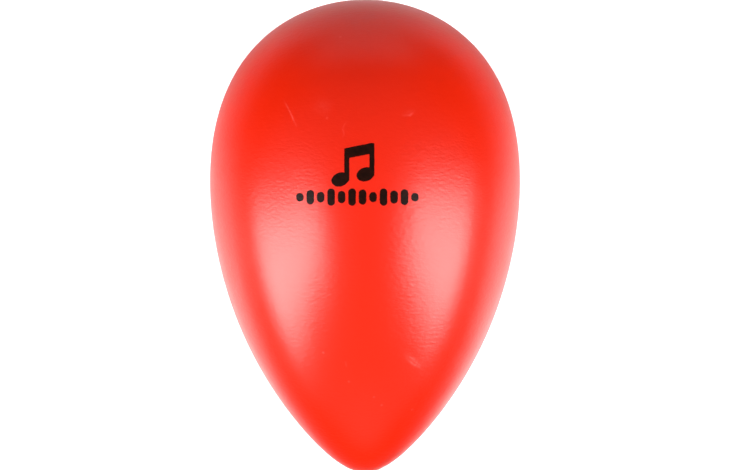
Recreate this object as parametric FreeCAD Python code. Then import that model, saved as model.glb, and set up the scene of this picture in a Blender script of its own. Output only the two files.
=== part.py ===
"""Egg shaker: a hollow egg of two moulded half shells, with loose steel shot inside.

The egg lies on its side. Its long axis runs along Y, with the blunt end at +Y and the pointed end at -Y.
The shells meet in a level plane through that axis. The origin is on the surface that the egg lies on,
under the middle of its length. Units are millimetres.
"""

import FreeCAD, Part
import math
import os

# --- driving dimensions ---------------------------------------------------------------------------
LENGTH = 70.0  # pole to pole
BREADTH = 45.9  # across the widest girth
EGG_TERMS = (0.245, 0.005, 0.104, -0.070)  # how far the egg departs from an ellipsoid, see swell()
WALL = 2.0  # shell thickness, the same all over

TONGUE_INSET = (0.75, 1.30)  # from the outer surface to the tongue's outer and inner face
TONGUE_HEIGHT = 0.80
TONGUE_ROOT = 0.30  # how far the tongue's solid reaches up into the shell wall
GROOVE_SIDE_GAP = 0.05  # on each side of the tongue
GROOVE_END_GAP = 0.20  # under the tongue, where the weld flash goes
SHADOW_DEPTH = 0.15  # line round the outside where the two shells meet
SHADOW_HALF_WIDTH = 0.15  # on each shell
CUT_MARGIN = 0.5  # how far a cutting tool runs past what it cuts

SHOT_DIAMETER = 4.0
SHOT_PITCH = 4.25  # centre to centre, seen from above
SHOT_WALL_GAP = 0.20  # between a ball and the shell
POOL_HALF_LENGTH = 17.0  # the pool of shot, along Y
POOL_HALF_WIDTH = 12.0  # and along X

OUTLINE_STEPS = 28  # spans of the curve from pole to pole
FIRST_STEP = 0.1  # radians, where a search for an angle starts
FINEST_STEP = 1e-9  # radians, where it ends


# --- the egg's outline ----------------------------------------------------------------------------
def swell(u):
    """Preston's egg formula: the radius over that of an ellipsoid, at u from -1 (pointed) to 1 (blunt)."""
    return 1.0 + sum(term * u ** (power + 1) for power, term in enumerate(EGG_TERMS))


def raw_radius(angle):
    """The radius at an angle from -90 (pointed) to 90 degrees (blunt), before it is scaled to BREADTH."""
    return math.cos(angle) * swell(math.sin(angle))


def widest():
    """The angle of the widest girth, by steps that halve until they no longer matter."""
    angle = 0.0
    step = FIRST_STEP
    while step > FINEST_STEP:
        if raw_radius(angle + step) > raw_radius(angle):
            angle += step
        elif raw_radius(angle - step) > raw_radius(angle):
            angle -= step
        else:
            step /= 2
    return angle


WIDEST_ANGLE = widest()
RADIUS_SCALE = BREADTH / 2 / raw_radius(WIDEST_ANGLE)
AXIS_HEIGHT = BREADTH / 2
GIRTH_Y = LENGTH / 2 * math.sin(WIDEST_ANGLE)


def station(angle, inset):
    """(y, radius) of the egg's surface moved inwards by inset."""
    u = math.sin(angle)
    c = math.cos(angle)
    slope = sum((power + 1) * term * u**power for power, term in enumerate(EGG_TERMS))
    dy = LENGTH / 2 * c
    dr = RADIUS_SCALE * (-u * swell(u) + c * slope * c)
    size = math.hypot(dy, dr)
    y = LENGTH / 2 * u + inset * dr / size
    radius = RADIUS_SCALE * raw_radius(angle) - inset * dy / size
    return y, radius


def half_outline(inset, side=1):
    """The egg's outline on one side of its axis, from the pointed pole to the blunt one."""
    points = []
    for i in range(OUTLINE_STEPS + 1):
        y, radius = station(math.pi * (i / OUTLINE_STEPS - 0.5), inset)
        on_axis = i in (0, OUTLINE_STEPS)
        points.append(FreeCAD.Vector(0 if on_axis else side * radius, y, AXIS_HEIGHT))
    outwards = FreeCAD.Vector(side, 0, 0)
    curve = Part.BSplineCurve()
    curve.interpolate(Points=points, InitialTangent=outwards, FinalTangent=-outwards, Scale=False)
    return curve.toShape()


def outline_face(inset):
    """The whole outline, filled, in the plane where the shells meet."""
    return Part.Face(Part.Wire([half_outline(inset, 1), half_outline(inset, -1)]))


def ring(outer_inset, inner_inset, low, high):
    """A rim-shaped solid between two insets of the outline, from height low to height high."""
    flat = outline_face(outer_inset).cut(outline_face(inner_inset))
    flat.translate(FreeCAD.Vector(0, 0, low - AXIS_HEIGHT))
    return flat.extrude(FreeCAD.Vector(0, 0, high - low))


# --- the shells -----------------------------------------------------------------------------------
def half_shell(upwards):
    """Half of the hollow egg, split through its long axis."""
    outer = half_outline(0)
    inner = half_outline(WALL)
    pointed_wall = Part.makeLine(outer.Vertexes[0].Point, inner.Vertexes[0].Point)
    blunt_wall = Part.makeLine(outer.Vertexes[-1].Point, inner.Vertexes[-1].Point)
    section = Part.Face(Part.Wire([outer, blunt_wall, inner, pointed_wall]))
    centre = FreeCAD.Vector(0, 0, AXIS_HEIGHT)
    return section.revolve(centre, FreeCAD.Vector(0, -1 if upwards else 1, 0), 180)


def shadow_line():
    """What is cut from both shells to leave a fine line where they meet."""
    low = AXIS_HEIGHT - SHADOW_HALF_WIDTH
    high = AXIS_HEIGHT + SHADOW_HALF_WIDTH
    return ring(-CUT_MARGIN, SHADOW_DEPTH, low, high)


def upper_shell():
    """The upper half, with the tongue round its rim."""
    tongue = ring(*TONGUE_INSET, AXIS_HEIGHT - TONGUE_HEIGHT, AXIS_HEIGHT + TONGUE_ROOT)
    return half_shell(upwards=True).cut(shadow_line()).fuse(tongue).removeSplitter()


def lower_shell():
    """The lower half, with the groove that the tongue drops into."""
    outer_inset, inner_inset = TONGUE_INSET
    floor = AXIS_HEIGHT - TONGUE_HEIGHT - GROOVE_END_GAP
    mouth = AXIS_HEIGHT + CUT_MARGIN
    groove = ring(outer_inset - GROOVE_SIDE_GAP, inner_inset + GROOVE_SIDE_GAP, floor, mouth)
    return half_shell(upwards=False).cut(shadow_line()).cut(groove)


# --- the shot -------------------------------------------------------------------------------------
def radius_at(y, inset):
    """The radius of the inset egg at y, by halving the range of angles."""
    low = -math.pi / 2
    high = math.pi / 2
    while high - low > FINEST_STEP:
        middle = (low + high) / 2
        if station(middle, inset)[0] < y:
            low = middle
        else:
            high = middle
    return station(low, inset)[1]


def shot_places():
    """Centres of the balls: staggered rows seen from above, each ball down on the lower shell."""
    inset = WALL + SHOT_WALL_GAP + SHOT_DIAMETER / 2
    row_pitch = SHOT_PITCH * math.sqrt(3) / 2
    rows = int(POOL_HALF_LENGTH / row_pitch)
    columns = int(POOL_HALF_WIDTH / SHOT_PITCH) + 1
    places = []
    for row in range(-rows, rows + 1):
        y = row * row_pitch
        radius = radius_at(GIRTH_Y + y, inset)
        stagger = 0.5 * (row % 2)
        for column in range(-columns, columns + 1):
            x = (column + stagger) * SHOT_PITCH
            if math.hypot(x / POOL_HALF_WIDTH, y / POOL_HALF_LENGTH) <= 1:
                drop = math.sqrt(radius**2 - x**2)
                places.append(FreeCAD.Vector(x, GIRTH_Y + y, AXIS_HEIGHT - drop))
    return places


def main():
    os.makedirs("parts", exist_ok=True)
    pieces = {"upper_shell": upper_shell(), "lower_shell": lower_shell()}
    for number, place in enumerate(shot_places(), start=1):
        pieces[f"shot_{number:02d}"] = Part.makeSphere(SHOT_DIAMETER / 2, place)
    for name, shape in pieces.items():
        shape.exportStep(f"parts/{name}.step")
        print(name, "valid" if shape.isValid() else "NOT VALID", round(shape.Volume, 2), "mm3")


main()
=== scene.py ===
"""The looks of the egg shaker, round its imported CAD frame.

Metres throughout. The egg lies along Y on the floor, with its blunt end at +Y. The camera sees it
from straight above.
"""

import math

import bpy
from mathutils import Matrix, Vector, noise


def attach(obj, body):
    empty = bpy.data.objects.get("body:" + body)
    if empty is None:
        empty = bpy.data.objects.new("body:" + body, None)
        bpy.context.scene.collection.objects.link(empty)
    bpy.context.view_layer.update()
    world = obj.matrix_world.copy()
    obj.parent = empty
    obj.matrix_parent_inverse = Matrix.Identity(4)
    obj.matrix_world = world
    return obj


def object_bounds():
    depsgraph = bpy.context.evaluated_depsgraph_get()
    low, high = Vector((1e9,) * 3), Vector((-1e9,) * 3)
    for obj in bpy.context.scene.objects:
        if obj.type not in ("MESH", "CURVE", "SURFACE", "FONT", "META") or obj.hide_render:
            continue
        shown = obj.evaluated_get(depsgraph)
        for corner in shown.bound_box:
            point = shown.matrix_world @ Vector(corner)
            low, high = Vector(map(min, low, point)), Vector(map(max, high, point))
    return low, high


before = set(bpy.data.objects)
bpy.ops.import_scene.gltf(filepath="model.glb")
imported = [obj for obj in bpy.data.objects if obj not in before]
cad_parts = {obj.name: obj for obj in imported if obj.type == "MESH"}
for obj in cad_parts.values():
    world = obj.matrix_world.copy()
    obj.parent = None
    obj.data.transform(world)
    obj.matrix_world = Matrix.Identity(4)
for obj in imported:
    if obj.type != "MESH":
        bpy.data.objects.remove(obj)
CAD_LOW, CAD_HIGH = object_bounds()

MM = 0.001

# --- places that come from the frame --------------------------------------------------------------
CENTRE = (CAD_LOW + CAD_HIGH) / 2
LENGTH = CAD_HIGH.y - CAD_LOW.y
BREADTH = CAD_HIGH.x - CAD_LOW.x

# --- the egg's surface ----------------------------------------------------------------------------
EGG_TERMS = (0.245, 0.005, 0.104, -0.070)  # Preston's formula, as the shells are made by it
PROFILE_STEPS = 2000


def raw_radius(u):
    """The egg's radius before scaling, at u from -1 (pointed pole) to 1 (blunt pole)."""
    swell = 1 + sum(term * u ** (power + 1) for power, term in enumerate(EGG_TERMS))
    return math.sqrt(max(0.0, 1 - u * u)) * swell


RADIUS_SCALE = BREADTH / 2 / max(raw_radius(i / PROFILE_STEPS) for i in range(PROFILE_STEPS))


def surface_height(x, y):
    """Height of the egg's upper surface above the floor."""
    radius = RADIUS_SCALE * raw_radius(2 * (y - CENTRE.y) / LENGTH)
    return CENTRE.z + math.sqrt(max(0.0, radius**2 - (x - CENTRE.x) ** 2))


# --- node trees -----------------------------------------------------------------------------------
class Tree:
    """A shader node tree that is built with short calls."""

    def __init__(self, owner, output):
        owner.use_nodes = True
        self.nodes = owner.node_tree.nodes
        self.links = owner.node_tree.links
        self.nodes.clear()
        self.output = self.nodes.new(output)

    def add(self, kind, sockets=None, **settings):
        """The outputs of a new node whose sockets, by name or number, get a value or an output."""
        node = self.nodes.new("ShaderNode" + kind)
        for key, value in settings.items():
            setattr(node, key, value)
        for key, value in (sockets or {}).items():
            if isinstance(value, bpy.types.NodeSocket):
                self.links.new(value, node.inputs[key])
            else:
                node.inputs[key].default_value = value
        return node.outputs

    def finish(self, shader):
        self.links.new(shader, self.output.inputs["Surface"])

    def place(self):
        """The point's place in its object's frame, which is the row frame for the egg's pieces."""
        return self.add("TexCoord")["Object"]

    def noise(self, place, scale, detail=2.0, roughness=0.5):
        """Noise from 0 to 1 with scale lumps to the metre."""
        sockets = {"Vector": place, "Scale": scale, "Detail": detail, "Roughness": roughness}
        return self.add("TexNoise", sockets)["Fac"]

    def remap(self, value, low, high, to_low, to_high, **settings):
        """A value from low to high, and no further, moved to the range from to_low to to_high."""
        sockets = {"Value": value, 1: low, 2: high, 3: to_low, 4: to_high}
        return self.add("MapRange", sockets, **settings)[0]

    def falloff(self, reach, power):
        """1 where reach is 0, a half where it is 1 or -1, and little beyond."""
        steep = self.math("POWER", self.math("ABSOLUTE", reach, 0.0), power)
        return self.math("DIVIDE", 1.0, self.math("ADD", 1.0, steep))

    def math(self, operation, a, b):
        return self.add("Math", {0: a, 1: b}, operation=operation)[0]

    def vector(self, operation, a, b=None, scale=None):
        sockets = {0: a, 1: b, "Scale": scale}
        sockets = {key: value for key, value in sockets.items() if value is not None}
        return self.add("VectorMath", sockets, operation=operation)

    def mix(self, share, a, b):
        """Colour a at share 0 to colour b at share 1."""
        return self.add("Mix", {0: share, 6: a, 7: b}, data_type="RGBA")[2]

    def bump(self, height, depth, normal=None):
        """The normal of a surface that rises by depth where height is 1, on another normal."""
        sockets = {"Height": height, "Distance": depth}
        if normal is not None:
            sockets["Normal"] = normal
        return self.add("Bump", sockets)["Normal"]


def new_material(name):
    material = bpy.data.materials.new(name)
    return material, Tree(material, "ShaderNodeOutputMaterial")


# --- materials ------------------------------------------------------------------------------------
RED = (0.80, 0.0156, 0.0005, 1)
DEEP_RED = (0.77, 0.0142, 0.0004, 1)
PIGMENT_PATCH = 14 * MM  # how large the patches of the two reds are
CHALKY_RED = (0.90, 0.085, 0.065, 1)  # where the surface is rubbed or scratched
PLASTIC_IOR = 1.5
HANDLING_PATCH = 8 * MM  # how large the patches are that handling left rougher or smoother
HANDLING_SPAN = (0.2, 0.8)  # the part of the noise that is used
HANDLING_ROUGHNESS = (0.277, 0.315)  # lower values that vary make the denoiser draw contour lines
WORN_ROUGHNESS = 0.25  # added where the surface is marked
GRAIN_LUMP = 0.34 * MM
GRAIN_STRETCH = 2.0  # its lumps are longer round the girth than along the egg
GRAIN_DEPTH = 0.028 * MM
FLOW_LUMP = 9 * MM
FLOW_DEPTH = 0.02 * MM

# Small marks of use: half-width, strength and a run of points (x, y) from the egg's centre, in mm.
MARKS = (
    (0.15, 0.95, ((-11.5, 19.4), (-10.5, 17.4), (-9.5, 15.2))),
    (0.15, 0.60, ((-2.4, 16.1), (-2.9, 15.5), (-3.1, 14.9), (-2.9, 14.2), (-3.2, 13.6))),
    (0.16, 0.45, ((-2.8, -17.6), (-2.6, -18.6))),
    (0.22, 0.75, ((5.8, -16.8), (7.6, -17.9))),
    (0.20, 0.85, ((6.5, -17.4), (8.0, -18.5))),
    (0.26, 1.00, ((6.0, -17.4), (6.9, -18.2), (8.1, -18.8))),
    (0.75, 0.28, ((5.4, -16.6), (8.4, -18.8))),
    (0.24, 0.70, ((5.0, 16.9), (6.3, 16.9), (7.1, 17.7))),
    (0.30, 0.30, ((5.4, 17.3), (6.9, 17.6))),
    (1.50, 0.20, ((-7.2, 18.6), (-4.6, 17.6))),
)
SPECKS = (
    (-5.9, -16.5),
    (1.3, -23.0),
    (2.4, -24.2),
    (6.8, -25.0),
    (-2.3, -20.7),
    (-3.5, 28.3),
    (-5.3, 16.5),
)
SPECK_RADIUS = 0.26 * MM
SPECK_STRENGTH = 1.0
BREAK_LUMP = 0.45 * MM  # the marks are broken up by a noise of this size
BREAK_SPAN = (0.35, 0.65)  # the part of that noise that is used
BREAK_FAINTEST = 0.25  # what is left of a mark in its gaps

INK = (0.007, 0.002, 0.001, 1)
THIN_INK = (0.018, 0.004, 0.002, 1)
INK_PATCH = 0.6 * MM
INK_SPAN = (0.3, 0.7)
INK_ROUGHNESS = (0.29, 0.36)
INK_IOR = 1.20  # duller than the plastic round it

DARK_STEEL = (0.50, 0.50, 0.52, 1)
PALE_STEEL = (0.70, 0.70, 0.71, 1)
STEEL_PATCH = 1.2 * MM
STEEL_SPAN = (0.3, 0.7)
STEEL_ROUGHNESS = (0.22, 0.40)
STEEL_DENT = 0.35 * MM  # left by tumbling
STEEL_DENT_DEPTH = 0.004 * MM


def grain(tree, place):
    """The moulded surface's normal: a slow unevenness with a fine grain on it."""
    flow = tree.bump(tree.noise(place, 1 / FLOW_LUMP), FLOW_DEPTH)
    stretched = tree.vector("MULTIPLY", place, (1 / GRAIN_STRETCH, 1, 1 / GRAIN_STRETCH))[0]
    return tree.bump(tree.noise(stretched, 1 / GRAIN_LUMP), GRAIN_DEPTH, flow)


def on_top(point):
    """The point of the upper surface that is seen at (x, y) millimetres from the egg's centre."""
    x = CENTRE.x + point[0] * MM
    y = CENTRE.y + point[1] * MM
    return Vector((x, y, surface_height(x, y)))


def stroke(tree, place, points, half_width, strength):
    """The strength of one mark, for each stretch of its run: 0 at both ends and past half_width."""
    lengths = [(end - start).length for start, end in zip(points, points[1:])]
    pieces = []
    done = 0.0
    for start, end, length in zip(points, points[1:], lengths):
        along = end - start
        offset = tree.vector("SUBTRACT", place, start)[0]
        share = tree.vector("DOT_PRODUCT", offset, along / along.length_squared)["Value"]
        share = tree.remap(share, 0.0, 1.0, 0.0, 1.0)
        nearest = tree.vector("SCALE", along, scale=share)[0]
        distance = tree.vector("DISTANCE", offset, nearest)["Value"]
        inside = tree.remap(distance, 0.0, half_width, strength, 0.0)
        run = tree.remap(share, 0.0, 1.0, done / sum(lengths), (done + length) / sum(lengths))
        left = tree.math("SUBTRACT", 4.0, tree.math("MULTIPLY", run, 4.0))
        fade = tree.math("MULTIPLY", run, left)  # 1 halfway along the run
        pieces.append(tree.math("MULTIPLY", inside, fade))
        done += length
    return pieces


def wear(tree, place):
    """How much the surface is marked, from 0 to 1: scratches, scuffs and specks, all broken up."""
    marks = []
    for half_width, strength, run in MARKS:
        marks += stroke(tree, place, [on_top(point) for point in run], half_width * MM, strength)
    for speck in SPECKS:
        distance = tree.vector("DISTANCE", place, on_top(speck))["Value"]
        marks.append(tree.remap(distance, 0.0, SPECK_RADIUS, SPECK_STRENGTH, 0.0))
    total = marks[0]
    for mark in marks[1:]:
        total = tree.math("MAXIMUM", total, mark)
    broken = tree.remap(tree.noise(place, 1 / BREAK_LUMP), *BREAK_SPAN, BREAK_FAINTEST, 1.0)
    return tree.math("MULTIPLY", total, broken)


def shell_plastic():
    material, tree = new_material("shell_plastic")
    place = tree.place()
    pigment = tree.noise(place, 1 / PIGMENT_PATCH)
    handling = tree.noise(place, 1 / HANDLING_PATCH)
    roughness = tree.remap(handling, *HANDLING_SPAN, *HANDLING_ROUGHNESS)
    worn = wear(tree, place)
    shader = tree.add(
        "BsdfPrincipled",
        {
            "Base Color": tree.mix(worn, tree.mix(pigment, RED, DEEP_RED), CHALKY_RED),
            "Roughness": tree.math("ADD", roughness, tree.math("MULTIPLY", worn, WORN_ROUGHNESS)),
            "IOR": PLASTIC_IOR,
            "Normal": grain(tree, place),
        },
    )
    tree.finish(shader["BSDF"])
    return material


def print_ink():
    material, tree = new_material("print_ink")
    place = tree.place()
    patches = tree.remap(tree.noise(place, 1 / INK_PATCH, detail=3), *INK_SPAN, 0.0, 1.0)
    shader = tree.add(
        "BsdfPrincipled",
        {
            "Base Color": tree.mix(patches, INK, THIN_INK),
            "Roughness": tree.remap(patches, 0.0, 1.0, *INK_ROUGHNESS),
            "IOR": INK_IOR,
            "Normal": grain(tree, place),
        },
    )
    tree.finish(shader["BSDF"])
    return material


def shot_steel():
    material, tree = new_material("shot_steel")
    place = tree.place()
    patches = tree.noise(place, 1 / STEEL_PATCH, detail=3)
    dents = tree.noise(place, 1 / STEEL_DENT)
    shader = tree.add(
        "BsdfPrincipled",
        {
            "Base Color": tree.mix(patches, DARK_STEEL, PALE_STEEL),
            "Metallic": 1.0,
            "Roughness": tree.remap(patches, *STEEL_SPAN, *STEEL_ROUGHNESS),
            "Normal": tree.bump(dents, STEEL_DENT_DEPTH),
        },
    )
    tree.finish(shader["BSDF"])
    return material


def give_material(node, material):
    materials = node.data.materials
    for index in range(len(materials)):
        materials[index] = material


# --- the print ------------------------------------------------------------------------------------
INK_PROUD = 0.02 * MM
INK_SUNK = 0.06 * MM
INK_CELL = 0.08 * MM
INK_BLEED = 0.03 * MM  # how far its edge wanders
INK_BLEED_LUMP = 0.35 * MM  # and over what length
PRINT_X = -1.07 * MM
PRINT_HALF_WIDTH = 9.5 * MM  # of the patch that is searched for ink
PRINT_BELOW = 2 * MM  # how far the patch runs past the middle of the bars
PRINT_ABOVE = 4 * MM  # and past the middle of the notes
NOTES_Y = CENTRE.y + 10.0 * MM
WAVE_Y = CENTRE.y + 5.45 * MM

NOTE_HEAD = (1.25 * MM, 0.95 * MM)  # half its length and half its height
NOTE_LEAN = math.radians(20)
NOTE_SPREAD = 1.75 * MM  # each note's head, from the middle of the pair
NOTE_DROP = 1.75 * MM  # the heads, below the middle of the pair
STEM_TOP = 1.9 * MM
STEM_HALF_WIDTH = 0.34 * MM
BEAM_HALF_WIDTH = 0.72 * MM
BEAM_RISE = 0.35 * MM  # each end of the beam, from its middle

WAVE_HALF_HEIGHTS = (0.6, 1.0, 0.75, 1.2, 0.85, 1.2, 1.05, 0.7, 1.2, 0.9, 1.1, 0.6)  # millimetres
WAVE_PITCH = 1.46 * MM
WAVE_HALF_WIDTH = 0.52 * MM
WAVE_SHORTEST = 0.01 * MM  # the least half-length of a bar's straight part


def to_capsule(x, y, start, end, radius):
    """Distance from (x, y) to a bar with round ends, less than 0 inside it."""
    along = Vector(end) - Vector(start)
    offset = Vector((x, y)) - Vector(start)
    share = min(1.0, max(0.0, offset.dot(along) / along.length_squared))
    return (offset - along * share).length - radius


def to_head(x, y):
    """Distance, near enough, to a note's leaning oval head."""
    half_length, half_height = NOTE_HEAD
    a = (x * math.cos(NOTE_LEAN) + y * math.sin(NOTE_LEAN)) / half_length
    b = (y * math.cos(NOTE_LEAN) - x * math.sin(NOTE_LEAN)) / half_height
    return (math.hypot(a, b) - 1) * half_height


def to_notes(x, y):
    """Distance to a pair of notes joined by a beam."""
    distances = []
    stem_tops = []
    for side in (-1, 1):
        head_x = side * NOTE_SPREAD - NOTE_HEAD[0] / 2
        head_y = -NOTE_DROP + side * BEAM_RISE
        stem_x = head_x + NOTE_HEAD[0] - STEM_HALF_WIDTH
        stem_top = (stem_x, STEM_TOP + side * BEAM_RISE)
        stem_tops.append(stem_top)
        distances.append(to_head(x - head_x, y - head_y))
        distances.append(to_capsule(x, y, (stem_x, head_y), stem_top, STEM_HALF_WIDTH))
    beam = to_capsule(x, y, stem_tops[0], stem_tops[1], BEAM_HALF_WIDTH)
    cut = max(stem_tops[0][0] - STEM_HALF_WIDTH - x, x - stem_tops[1][0] - STEM_HALF_WIDTH)
    distances.append(max(beam, cut))
    return min(distances)


def to_wave(x, y):
    """Distance to a row of upright bars of different heights."""
    distances = []
    for number, half_height in enumerate(WAVE_HALF_HEIGHTS):
        bar_x = (number - (len(WAVE_HALF_HEIGHTS) - 1) / 2) * WAVE_PITCH
        reach = max(half_height * MM - WAVE_HALF_WIDTH, WAVE_SHORTEST)
        distances.append(to_capsule(x, y, (bar_x, -reach), (bar_x, reach), WAVE_HALF_WIDTH))
    return min(distances)


def to_print(x, y):
    """Distance to the whole print, with an edge that wanders as ink does."""
    bleed = noise.noise(Vector((x, y, 0)) / INK_BLEED_LUMP) * INK_BLEED
    return min(to_notes(x - PRINT_X, y - NOTES_Y), to_wave(x - PRINT_X, y - WAVE_Y)) + bleed


def print_cells():
    """The flat print cut into small cells: each one's corners by number, and each corner's place."""
    low = (PRINT_X - PRINT_HALF_WIDTH, WAVE_Y - PRINT_BELOW)
    columns = math.ceil(2 * PRINT_HALF_WIDTH / INK_CELL)
    rows = math.ceil((NOTES_Y + PRINT_ABOVE - low[1]) / INK_CELL)
    grid = {
        (i, j): to_print(low[0] + i * INK_CELL, low[1] + j * INK_CELL)
        for i in range(columns + 1)
        for j in range(rows + 1)
    }
    numbers = {}
    corners = []

    def corner(a, b=None):
        """The number of grid point a or, with b, of where the outline crosses from a to b."""
        key = (a,) if b is None else (min(a, b), max(a, b))
        if key not in numbers:
            share = 0.0 if b is None else grid[key[0]] / (grid[key[0]] - grid[key[1]])
            i, j = Vector(key[0]).lerp(Vector(key[-1]), share)
            numbers[key] = len(corners)
            corners.append((low[0] + i * INK_CELL, low[1] + j * INK_CELL))
        return numbers[key]

    cells = []
    for i in range(columns):
        for j in range(rows):
            round_cell = [(i, j), (i + 1, j), (i + 1, j + 1), (i, j + 1)]
            outline = []
            for a, b in zip(round_cell, round_cell[1:] + round_cell[:1]):
                if grid[a] < 0:
                    outline.append(corner(a))
                if (grid[a] < 0) != (grid[b] < 0):
                    outline.append(corner(a, b))
            if len(outline) > 2:
                cells.append(outline)
    return cells, corners


def print_mark():
    """The ink: the cells laid just over the shell's surface, with sides and an underside."""
    cells, corners = print_cells()
    count = len(corners)
    vertices = [(x, y, surface_height(x, y) + INK_PROUD) for x, y in corners]
    vertices += [(x, y, surface_height(x, y) - INK_SUNK) for x, y in corners]
    edges = [edge for cell in cells for edge in zip(cell, cell[1:] + cell[:1])]
    known = set(edges)
    faces = list(cells)
    faces += [[corner + count for corner in reversed(cell)] for cell in cells]
    faces += [(a + count, b + count, b, a) for a, b in edges if (b, a) not in known]
    data = bpy.data.meshes.new("print_mark")
    data.from_pydata(vertices, [], faces)
    piece = bpy.data.objects.new("print_mark", data)
    bpy.context.scene.collection.objects.link(piece)
    data.materials.append(print_ink())
    return piece


# --- the stage ------------------------------------------------------------------------------------
ROOM_RADIUS = 3.0
PAPER_PALE = 0.88
PAPER_GLOW = 0.50  # light of its own, which keeps the egg's shadow on it pale
PAPER_FIBRE = 3 * MM
PAPER_MOTTLE = 0.02  # how much darker it gets between its fibres
PAPER_MELT = (0.065, 0.20)  # how far out the paper starts and ends melting into the pale room
ROOM_PALE = 0.80

TABLE_DROP = 0.1 * MM  # below the paper
TABLE_RADIUS = 0.8
# the colour of the painted pool of light round the egg
PAINTED_POOL_PALE = 0.90
# painted shade: the table's colour away from the painted pool and the painted strip
PAINTED_SHADE_DARK = 0.02
TABLE_GLOW = 0.62  # the painted pool of light also glows, with this light of its own
TABLE_EDGE = 4  # the power by which the painted pool of light and the painted strip fall off
PAINTED_POOL_MIDDLE = Vector((0, -12 * MM, 0))  # the middle of a pool of light painted on the table, which the egg mirrors
PAINTED_POOL_REACH = (105 * MM, 30 * MM)  # from its middle to where it is half as pale, along X and Y
PAINTED_STRIP_REACH = 76 * MM  # half the width of a painted grey strip of light along Y
PAINTED_STRIP_RISE = (-50 * MM, 50 * MM)  # from where to where along Y the painted strip of light gets paler
# the colour of the painted strip of light at its palest
PAINTED_STRIP_GREY = 0.44


def pale_room():
    """What the camera sees round the egg, and the egg doesn't: a pale floor under a pale dome."""
    bpy.ops.mesh.primitive_uv_sphere_add(segments=64, ring_count=32, radius=ROOM_RADIUS)
    dome = bpy.context.object
    dome.name = "floor_and_room"
    for vertex in dome.data.vertices:
        vertex.co.z = max(0.0, vertex.co.z)
    material, tree = new_material("pale_paper")
    place = tree.place()
    fibres = tree.noise(place, 1 / PAPER_FIBRE, detail=4)
    shade = tree.remap(fibres, 0.0, 1.0, PAPER_PALE - PAPER_MOTTLE, PAPER_PALE)
    paper = tree.add("BsdfDiffuse", {"Color": shade})["BSDF"]
    glow = tree.add("Emission", {"Strength": PAPER_GLOW})["Emission"]
    room = tree.add("Emission", {"Strength": ROOM_PALE})["Emission"]
    distance = tree.vector("LENGTH", place)["Value"]
    share = tree.remap(distance, *PAPER_MELT, 0.0, 1.0)
    near = tree.add("AddShader", {0: paper, 1: glow})[0]
    tree.finish(tree.add("MixShader", {0: share, 1: near, 2: room})[0])
    dome.data.materials.append(material)
    dome.visible_diffuse = False
    dome.visible_glossy = False
    dome.visible_shadow = False


def table():
    """What the egg stands on, mirrors and takes its bounced light from, unseen by the camera."""
    bpy.ops.mesh.primitive_circle_add(vertices=96, radius=TABLE_RADIUS, fill_type="NGON")
    disc = bpy.context.object
    disc.name = "table"
    disc.location.z = -TABLE_DROP
    # the table's colour is painted light and shade: a painted pool of light round the egg, a painted
    # grey strip and painted shade beyond
    material, tree = new_material("table_painted_light")
    place = tree.place()
    x, y, _ = tree.add("SeparateXYZ", {0: place})
    from_middle = tree.vector("SUBTRACT", place, PAINTED_POOL_MIDDLE)[0]
    per_reach = (1 / PAINTED_POOL_REACH[0], 1 / PAINTED_POOL_REACH[1], 0)
    reaches = tree.vector("MULTIPLY", from_middle, per_reach)[0]
    # painted pool of light: paler and glowing round the egg, falling off away from it
    painted_pool = tree.falloff(tree.vector("LENGTH", reaches)["Value"], TABLE_EDGE)
    # painted strip of light: grey, paler towards +Y, outside the painted pool
    painted_strip = tree.falloff(tree.math("MULTIPLY", x, 1 / PAINTED_STRIP_REACH), TABLE_EDGE)
    rise = tree.remap(y, *PAINTED_STRIP_RISE, 0.0, PAINTED_STRIP_GREY - PAINTED_SHADE_DARK)
    # painted shade away from the pool, with the painted strip of light on it
    far = tree.math("ADD", tree.math("MULTIPLY", painted_strip, rise), PAINTED_SHADE_DARK)
    # the painted pool of light blended over the painted strip and the painted shade
    shade = tree.add("Mix", {0: painted_pool, 2: far, 3: PAINTED_POOL_PALE})[0]
    top = tree.add("BsdfDiffuse", {"Color": shade})["BSDF"]
    glow = tree.add("Emission", {"Strength": tree.math("MULTIPLY", painted_pool, TABLE_GLOW)})["Emission"]
    tree.finish(tree.add("AddShader", {0: top, 1: glow})[0])
    disc.data.materials.append(material)
    disc.visible_camera = False


LIGHT_DISTANCE = 0.5  # from the origin, along the floor
SOFTBOX_TOP = 0.94
SOFTBOX_FADE = 0.52  # the height above which it dims towards its top
SOFTBOX_EDGE = 0.77  # the power by which it dims towards its sides
SOFTBOXES = (  # name, azimuth in degrees, half-width, height of the bottom, brightness
    ("softbox_left", 204, 0.195, 0.03, 10.3),
    ("softbox_right", 338, 0.218, 0.08, 9.6),
)
FILL_SIZE = (0.50, 0.18)
FILL_WATTS = 0.9


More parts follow.
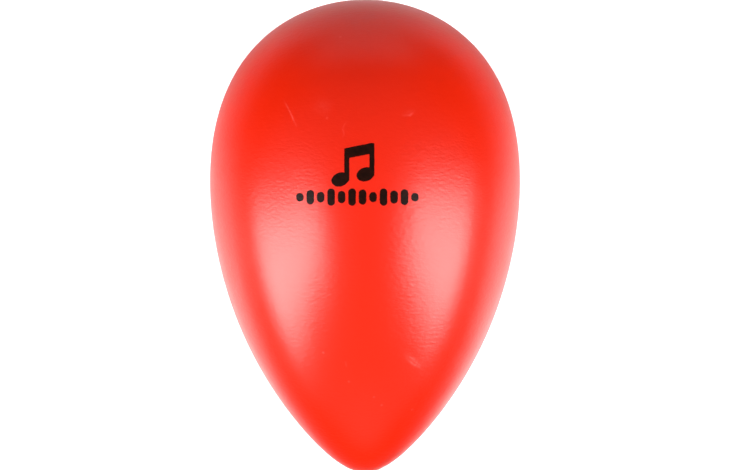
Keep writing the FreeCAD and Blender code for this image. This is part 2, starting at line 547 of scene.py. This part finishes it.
def softbox(name, azimuth, half_width, bottom, brightness):
    """An upright panel facing the egg, bright along its middle and dark at its top and sides."""
    bpy.ops.mesh.primitive_plane_add(size=2)
    panel = bpy.context.object
    panel.name = name
    outwards = Vector((math.cos(math.radians(azimuth)), math.sin(math.radians(azimuth)), 0))
    panel.location = outwards * LIGHT_DISTANCE + Vector((0, 0, (bottom + SOFTBOX_TOP) / 2))
    panel.rotation_mode = "QUATERNION"
    panel.rotation_quaternion = (-outwards).to_track_quat("Z", "Y")
    panel.scale = (half_width, (SOFTBOX_TOP - bottom) / 2, 1)
    material, tree = new_material(name)
    front = tree.math("SUBTRACT", 1.0, tree.add("NewGeometry")["Backfacing"])
    across, up, _ = tree.add("SeparateXYZ", {0: tree.place()})  # each from -1 to 1 over the panel
    inside = tree.math("SUBTRACT", 1.0, tree.math("MULTIPLY", across, across))
    sides = tree.math("POWER", inside, SOFTBOX_EDGE)
    fade_from = 2 * (SOFTBOX_FADE - bottom) / (SOFTBOX_TOP - bottom) - 1
    height = tree.remap(up, fade_from, 1.0, brightness, 0.0, interpolation_type="SMOOTHSTEP")
    glow = tree.math("MULTIPLY", front, tree.math("MULTIPLY", sides, height))
    tree.finish(tree.add("Emission", {"Strength": glow})["Emission"])
    panel.data.materials.append(material)
    panel.visible_camera = False
    panel.visible_shadow = False


def fill_light():
    """A low light behind the blunt end, for its rim. It is hardly mirrored."""
    data = bpy.data.lights.new("fill", "AREA")
    data.shape = "RECTANGLE"
    data.size, data.size_y = FILL_SIZE
    data.energy = FILL_WATTS
    fill = bpy.data.objects.new("fill", data)
    bpy.context.scene.collection.objects.link(fill)
    fill.location = (0, LIGHT_DISTANCE, FILL_SIZE[1] / 2)
    fill.rotation_euler = (math.radians(-90), 0, 0)  # it shines along -Y
    fill.visible_camera = False
    fill.visible_glossy = False


GLOW_NORTH = 0.10  # brightness at the horizon, at +Y
GLOW_SOUTH = 0.50  # and at -Y
GLOW_EDGE = 4  # the power by which both fall off away from there
OVERHEAD = 0.19
OVERHEAD_WIDTH = 1.6  # its half-width, as a slope from straight up
OVERHEAD_LEAN = 0.10  # how far it leans to -Y, as a slope
LEAST_RISE = 0.01  # keeps that slope finite at the horizon and below it


def surroundings():
    """The room's own light: a glow at both ends of the egg and a wide soft band overhead."""
    world = bpy.data.worlds.new("studio")
    bpy.context.scene.world = world
    tree = Tree(world, "ShaderNodeOutputWorld")
    _, y, z = tree.add("SeparateXYZ", {0: tree.add("TexCoord")["Generated"]})
    ends = tree.remap(y, -1.0, 1.0, GLOW_SOUTH, GLOW_NORTH)
    near_end = tree.math("POWER", tree.math("ABSOLUTE", y, 0.0), GLOW_EDGE)
    ends = tree.math("MULTIPLY", ends, near_end)
    slope = tree.math("DIVIDE", y, tree.math("MAXIMUM", z, LEAST_RISE))
    aside = tree.math("DIVIDE", tree.math("ADD", slope, OVERHEAD_LEAN), OVERHEAD_WIDTH)
    band = tree.remap(tree.math("MULTIPLY", aside, aside), 0.0, 1.0, OVERHEAD, 0.0)
    tree.finish(tree.add("Background", {"Color": tree.math("ADD", ends, band)})["Background"])


CAMERA_RISE = 0.361  # above the egg's axis
CAMERA_Y = 0.18 * MM  # from the middle of the egg's length
LENS = 120  # millimetres
SENSOR = 36


def camera():
    """The photo's view: straight down, with the blunt end at the top."""
    data = bpy.data.cameras.new("camera")
    data.lens = LENS
    data.sensor_width = SENSOR
    view = bpy.data.objects.new("camera", data)
    bpy.context.scene.collection.objects.link(view)
    view.location = CENTRE + Vector((0, CAMERA_Y, CAMERA_RISE))
    bpy.context.scene.camera = view


# --- putting it together --------------------------------------------------------------------------
plastic = shell_plastic()
steel = shot_steel()
for name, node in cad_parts.items():
    give_material(node, plastic if name.endswith("shell") else steel)

mark = print_mark()
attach(mark, "shell")

pale_room()
table()
for values in SOFTBOXES:
    softbox(*values)
fill_light()
surroundings()
camera()
bpy.context.scene.view_settings.view_transform = "Standard"
